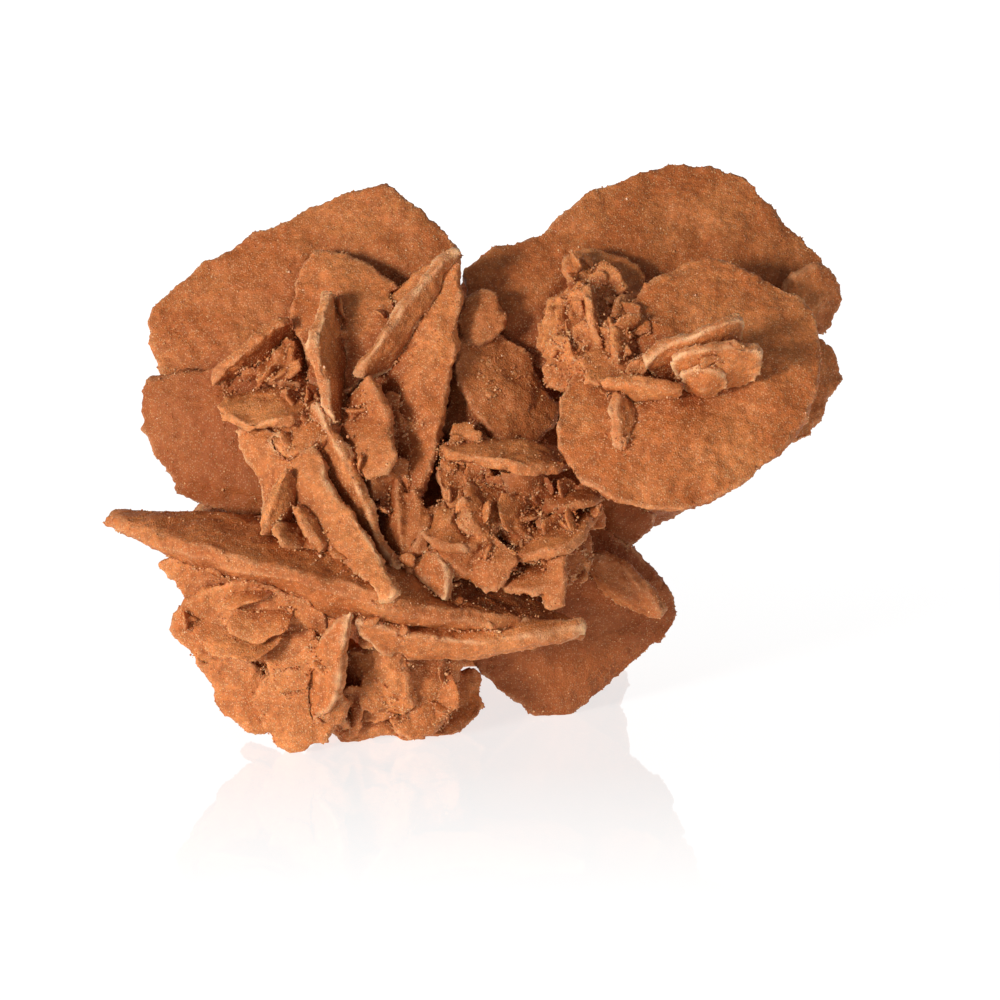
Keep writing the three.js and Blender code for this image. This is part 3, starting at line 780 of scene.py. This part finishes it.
# Rosettes of small petals: centre in mm, the way they open, how many petals, and a petal's length in mm.
RIGHT_ROSETTES = (
    ((17.5, -3.8, 61.2), (-0.25, -0.60, 0.75), 9, 4.2),
    ((13.6, -6.6, 58.0), (-0.55, -0.70, 0.45), 11, 4.4),
    ((20.3, -8.6, 58.4), (-0.10, -0.65, 0.75), 9, 3.8),
    ((17.0, -11.2, 54.8), (-0.35, -0.85, 0.35), 13, 4.2),
    ((12.2, -10.2, 52.4), (-0.70, -0.65, 0.10), 9, 3.8),
    ((24.4, -14.2, 52.6), (0.30, -0.90, 0.25), 10, 3.6),
    ((21.0, -14.0, 47.5), (0.10, -0.90, -0.30), 6, 3.0),
)
CENTRE_ROSETTES = (
    ((2.0, -18.4, 34.5), (0.15, -0.90, 0.45), 8, 6.4),
    ((9.0, -18.6, 33.0), (0.35, -0.85, 0.40), 8, 5.6),
    ((12.0, -20.2, 28.2), (0.45, -0.85, 0.10), 7, 5.0),
    ((4.6, -20.4, 28.0), (0.05, -0.90, 0.40), 7, 5.0),
    ((-2.8, -20.6, 29.2), (-0.25, -0.90, 0.40), 6, 4.8),
    ((-1.6, -14.6, 41.6), (0.10, -0.80, 0.55), 7, 4.0),
    ((14.6, -18.8, 33.4), (0.65, -0.65, 0.30), 6, 4.4),
)
LEFT_ROSETTES = (
    ((-28.6, -5.2, 51.6), (-0.40, -0.70, 0.55), 8, 4.0),
    ((-26.0, -9.6, 45.4), (-0.35, -0.90, 0.10), 8, 3.8),
    ((-13.4, -12.4, 44.4), (0.10, -0.90, 0.30), 9, 3.8),
    ((-22.8, -18.4, 32.6), (-0.15, -0.95, 0.20), 11, 4.0),
    ((-11.8, -16.4, 36.0), (0.10, -0.95, 0.20), 8, 3.4),
    ((2.2, -7.6, 49.4), (0.20, -0.85, 0.40), 7, 3.6),
)
LOWER_LEFT_ROSETTES = (
    ((-27.4, -22.4, 7.6), (-0.20, -0.90, -0.20), 6, 4.4),
    ((-19.0, -21.6, 5.4), (0.05, -0.90, -0.20), 7, 4.4),
    ((-8.6, -18.6, 5.6), (0.25, -0.90, -0.15), 6, 4.2),
)
REAR_ROSETTES = (
    ((-8.0, 22.0, 30.0), (-0.10, 0.95, 0.25), 14, 5.6),
    ((6.0, 20.0, 40.0), (0.20, 0.90, 0.35), 12, 4.8),
    ((-24.0, 12.0, 30.0), (-0.50, 0.80, 0.20), 11, 4.6),
    ((16.0, 14.0, 30.0), (0.50, 0.80, 0.10), 11, 4.6),
    ((-6.0, 14.0, 12.0), (-0.05, 0.95, -0.10), 10, 4.2),
)


# Single petals under the ledge: foot in mm, the way it grows, the way its back faces, length and width in mm.
BOWL_PETALS = (
    ((-27.5, -19.5, 20.0), (-0.80, -0.45, -0.35), (-0.25, 0.55, -0.80), 13.5, 13.0),
    ((-27.0, -20.5, 21.5), (-0.62, -0.62, -0.45), (-0.10, 0.60, -0.80), 9.5, 9.5),
    ((-26.0, -21.0, 19.5), (0.00, -0.50, -0.85), (0.15, 0.80, -0.55), 12.0, 9.0),
    ((-28.5, -21.5, 22.8), (-0.80, -0.60, -0.10), (0.05, 0.30, -0.95), 7.5, 5.0),
    ((-22.0, -19.5, 13.0), (-0.35, -0.45, -0.85), (-0.55, 0.70, -0.20), 11.0, 8.0),
    ((-13.0, -19.5, 13.0), (-0.10, -0.40, -0.90), (-0.10, 0.85, -0.50), 9.0, 8.0),
    ((-6.5, -18.0, 12.0), (0.15, -0.40, -0.90), (0.25, 0.85, -0.45), 9.5, 8.0),
)


def grow_rosettes(name, rosettes, seed, single=()):
    """One piece that holds the petals of some rosettes, and some petals that grow alone."""
    settings = bpy.context.scene.sand_rose_petals
    rng = np.random.default_rng(seed)
    lens, faces = template(bmesh.ops.create_icosphere, subdivisions=3, radius=0.5)
    grown = []
    for foot, stem, face, length, width in single:
        grown.append(petal(
            lens, np.array(foot) * MM, np.array(stem), np.array(face), length * MM, width * MM,
            SINGLE_THICKNESS * settings.thickness, SINGLE_CURL, rng))
    for centre, axis, count, length in rosettes:
        grown += rosette(lens, centre, axis, count, length * MM, rng)
    piece = lay_down(name, faces, np.array(grown))
    dress(piece, "sandy_gypsum", settings.skin, PETAL_ROUNDS, PETAL_ROUGHNESS)
    return {"FINISHED"}


class SANDROSE_OT_right_petals(bpy.types.Operator):
    """Grow the small petals of the right rosette"""

    bl_idname = "sandrose.right_petals"
    bl_label = "Right petals"

    def execute(self, context):
        return grow_rosettes("right_petals", RIGHT_ROSETTES, 3)


class SANDROSE_OT_centre_petals(bpy.types.Operator):
    """Grow the small petals of the centre rosette"""

    bl_idname = "sandrose.centre_petals"
    bl_label = "Centre petals"

    def execute(self, context):
        return grow_rosettes("centre_petals", CENTRE_ROSETTES, 4)


class SANDROSE_OT_left_petals(bpy.types.Operator):
    """Grow the small petals of the upper left rosette"""

    bl_idname = "sandrose.left_petals"
    bl_label = "Upper left petals"

    def execute(self, context):
        return grow_rosettes("upper_left_petals", LEFT_ROSETTES, 5)


class SANDROSE_OT_lower_left_petals(bpy.types.Operator):
    """Grow the small petals under the ledge"""

    bl_idname = "sandrose.lower_left_petals"
    bl_label = "Lower left petals"

    def execute(self, context):
        return grow_rosettes("lower_left_petals", LOWER_LEFT_ROSETTES, 6, BOWL_PETALS)


class SANDROSE_OT_rear_petals(bpy.types.Operator):
    """Grow the small petals behind the rose"""

    bl_idname = "sandrose.rear_petals"
    bl_label = "Rear petals"

    def execute(self, context):
        return grow_rosettes("rear_petals", REAR_ROSETTES, 8)


class SANDROSE_OT_cleft_scales(bpy.types.Operator):
    """Grow small scales in the clefts between the crystals, each patch of them alike"""

    bl_idname = "sandrose.cleft_scales"
    bl_label = "Cleft scales"

    def execute(self, context):
        settings = context.scene.sand_rose_petals
        rng = np.random.default_rng(11)
        found = clefts(survey(SCALES_SHARE), SCALES_REACH)
        lens, faces = template(bmesh.ops.create_icosphere, subdivisions=2, radius=0.5)
        grown = []
        for number in rng.choice(len(found), min(settings.scales, len(found)), replace=False):
            place, out, line = found[number]
            wave = 2.2 * math.sin(260 * place.x + 1.7) + 2.2 * math.sin(310 * place.z + 140 * place.y)
            face = Matrix.Rotation(wave + rng.normal(0, 0.2), 3, out) @ line
            stem = out + 0.5 * face * rng.normal(0, 1)
            long = settings.scale_length * rng.uniform(0.6, 1.3)
            foot = np.array(place) - 0.25 * long * unit(out)
            grown.append(petal(
                lens, foot, np.array(stem), np.array(face), long, long * rng.uniform(0.8, 1.3),
                settings.thickness * rng.uniform(0.7, 1.0), SCALE_CURL, rng))
        piece = lay_down("cleft_scales", faces, np.array(grown))
        dress(piece, "sandy_gypsum", SCALE_SKIN * settings.skin, PETAL_ROUNDS, SCALE_ROUGHNESS)
        return {"FINISHED"}


def sand_piece(name, places, size, rng):
    """Many small eight-sided grains, each turned and stretched its own way."""
    grain, faces = template(bmesh.ops.create_uvsphere, u_segments=4, v_segments=2, radius=0.5)
    many = len(places)
    turns, _ = np.linalg.qr(rng.normal(size=(many, 3, 3)))
    turns *= np.linalg.det(turns)[:, None, None]
    sizes = size * rng.lognormal(0, 0.25, (many, 1, 1)) * rng.uniform(0.75, 1.25, (many, 1, 3))
    copies = (grain[None] * sizes) @ turns + np.asarray(places)[:, None, :]
    copies[:, :, 2] = copies[:, :, 2].clip(0, None)
    piece = lay_down(name, faces, copies)
    piece.data.materials.append(quartz())
    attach(piece, BODY)


class SANDROSE_OT_cleft_shading(bpy.types.Operator):
    """Paint shade into the gypsum, darker and redder, where the crystals crowd together"""

    bl_idname = "sandrose.stains"
    bl_label = "Shade_in_clefts"

    def execute(self, context):
        reach = context.scene.sand_rose_crystals.shade_reach
        crowd_at = crowding(reach)
        for piece in crystals:
            places, normals = places_and_normals(piece.data)
            # Painted shade: a crowded place, where little light reaches, is painted darker and redder.
            crowd = crowd_at(places + 0.75 * reach * normals)
            hollow = 0.6 * recall(piece.data, "cleft")
            store(piece.data, "cleft", np.maximum(hollow, ease(crowd, CREVICE, THICKET)))
        return {"FINISHED"}


class SANDROSE_OT_sand(bpy.types.Operator):
    """Drop sand into the clefts and stick it to the faces and rims"""

    bl_idname = "sandrose.sand"
    bl_label = "Sand"

    def execute(self, context):
        settings = context.scene.sand_rose_sand
        rng = np.random.default_rng(23)
        points = survey(SAND_SHARE)
        found = clefts(points, SAND_REACH)
        chosen = rng.integers(len(found), size=settings.cleft_grains)
        heaped = np.array([found[i][0] for i in chosen])
        out = np.array([found[i][1] for i in chosen])
        line = np.array([found[i][2] for i in chosen])
        many = (settings.cleft_grains, 1)
        heaped += out * np.abs(rng.normal(0, HEAP, many)) + line * rng.normal(0, SPREAD, many)
        heaped[:, 2] = heaped[:, 2].clip(0.15 * MM, None)
        sand_piece("cleft_sand", heaped, settings.size, rng)
        points = points[points[:, 2] > 0.3 * MM]
        # Grains stick to rims most, and then to faces that look up.
        likely = 0.25 + 2.2 * points[:, 6] + 0.5 * points[:, 5].clip(0, 1)
        chosen = rng.choice(len(points), settings.face_grains, replace=False, p=likely / likely.sum())
        stuck = points[chosen, :3] + 0.03 * MM * points[chosen, 3:6]
        sand_piece("face_sand", stuck, 0.8 * settings.size, rng)
        return {"FINISHED"}


def soft_light(name, place, target, size, power, colour):
    """A round lamp that shines at the target."""
    lamp = bpy.data.lights.new(name, "AREA")
    lamp.shape = "DISK"
    lamp.size = size
    lamp.energy = power
    lamp.color = colour
    holder = link(bpy.data.objects.new(name, lamp))
    holder.location = place
    holder.rotation_euler = (Vector(target) - Vector(place)).to_track_quat("-Z", "Y").to_euler()


def studio_world(fill):
    """White behind the rose, and a dimmer white that lights it."""
    world = bpy.data.worlds.new("studio")
    world.use_nodes = True
    tree = world.node_tree
    tree.nodes.clear()
    add = nodes_of(tree)
    path = add("ShaderNodeLightPath")
    seen = add("ShaderNodeMath", {0: path.outputs["Is Camera Ray"], 1: path.outputs["Is Glossy Ray"]},
               operation="MAXIMUM").outputs[0]
    strength = mix(add, seen, fill, 1.0, "FLOAT")
    back = add("ShaderNodeBackground", {"Color": (1, 1, 1, 1), "Strength": strength})
    tree.links.new(back.outputs[0], add("ShaderNodeOutputWorld").inputs["Surface"])
    return world


def pale_floor(settings):
    """A white floor whose faint gloss fades out in front of the rose."""
    bm = bmesh.new()
    bmesh.ops.create_grid(bm, x_segments=1, y_segments=1, size=6)
    mesh = bpy.data.meshes.new("floor")
    bm.to_mesh(mesh)
    bm.free()
    floor = link(bpy.data.objects.new("floor", mesh))
    paint = bpy.data.materials.new("white_floor")
    paint.use_nodes = True
    skin = paint.node_tree.nodes["Principled BSDF"]
    skin.inputs["Base Color"].default_value = (0.35, 0.35, 0.35, 1)
    skin.inputs["Roughness"].default_value = 0.03
    skin.inputs["IOR"].default_value = 1.45
    skin.inputs["Emission Color"].default_value = (1, 1, 1, 1)
    add = nodes_of(paint.node_tree)
    place = add("ShaderNodeSeparateXYZ", {"Vector": add("ShaderNodeTexCoord").outputs["Object"]})
    gloss = add("ShaderNodeMapRange", {
        "Value": place.outputs["Y"], "From Min": settings.gloss_far, "From Max": settings.gloss_near,
        "To Max": 0.6})
    glow = add("ShaderNodeMapRange", {"Value": gloss.outputs[0], "To Min": 0.92, "To Max": 0.60})
    paint.node_tree.links.new(gloss.outputs[0], skin.inputs["Specular IOR Level"])
    paint.node_tree.links.new(glow.outputs[0], skin.inputs["Emission Strength"])
    floor.data.materials.append(paint)
    return floor


class SANDROSE_OT_stage(bpy.types.Operator):
    """Set up the pale floor, the soft light and the camera"""

    bl_idname = "sandrose.stage"
    bl_label = "Stage"

    def execute(self, context):
        settings = context.scene.sand_rose_stage
        target = Vector(settings.target)
        back = Vector((0, -math.cos(settings.elevation), math.sin(settings.elevation)))
        camera = bpy.data.cameras.new("camera")
        camera.lens = settings.lens
        camera.sensor_width = 36
        camera.clip_start = 0.01
        holder = link(bpy.data.objects.new("camera", camera))
        holder.location = target + back * settings.distance
        holder.rotation_euler = (-back).to_track_quat("-Z", "Y").to_euler()
        context.scene.camera = holder

        pale_floor(settings)
        context.scene.world = studio_world(settings.fill)
        context.scene.view_settings.view_transform = "Standard"
        soft_light("key", settings.key_place, target, settings.key_size, settings.key_power, (1, 0.98, 0.94))
        return {"FINISHED"}


class SANDROSE_PT_panel(bpy.types.Panel):
    """Lists the steps that make the sand rose"""

    bl_label = "Sand Rose"
    bl_space_type = "VIEW_3D"
    bl_region_type = "UI"
    bl_category = "Sand Rose"

    def draw(self, context):
        for group in ("crystals", "petals", "sand", "colours", "stage"):
            settings = getattr(context.scene, "sand_rose_" + group)
            box = self.layout.box()
            for key in settings.__annotations__:
                box.prop(settings, key)
        for step in STEPS:
            self.layout.operator(step.bl_idname)


STEPS = (
    SANDROSE_OT_broad_plates,
    SANDROSE_OT_upper_left_rosette,
    SANDROSE_OT_right_rosette,
    SANDROSE_OT_centre_rosette,
    SANDROSE_OT_lower_left_rosette,
    SANDROSE_OT_rear_crystals,
    SANDROSE_OT_right_petals,
    SANDROSE_OT_centre_petals,
    SANDROSE_OT_left_petals,
    SANDROSE_OT_lower_left_petals,
    SANDROSE_OT_rear_petals,
    SANDROSE_OT_cleft_scales,
    SANDROSE_OT_cleft_shading,
    SANDROSE_OT_sand,
    SANDROSE_OT_stage,
)
SETTINGS = {
    "sand_rose_crystals": CrystalSettings,
    "sand_rose_petals": PetalSettings,
    "sand_rose_sand": SandSettings,
    "sand_rose_colours": ColourSettings,
    "sand_rose_stage": StageSettings,
}


def register():
    for kind in (*SETTINGS.values(), *STEPS, SANDROSE_PT_panel):
        bpy.utils.register_class(kind)
    for name, kind in SETTINGS.items():
        setattr(bpy.types.Scene, name, bpy.props.PointerProperty(type=kind))


def unregister():
    for name in SETTINGS:
        delattr(bpy.types.Scene, name)
    for kind in (SANDROSE_PT_panel, *reversed(STEPS), *reversed(list(SETTINGS.values()))):
        bpy.utils.unregister_class(kind)


def main():
    register()
    for step in STEPS:
        group, name = step.bl_idname.split(".")
        getattr(getattr(bpy.ops, group), name)()


if __name__ == "__main__":
    main()
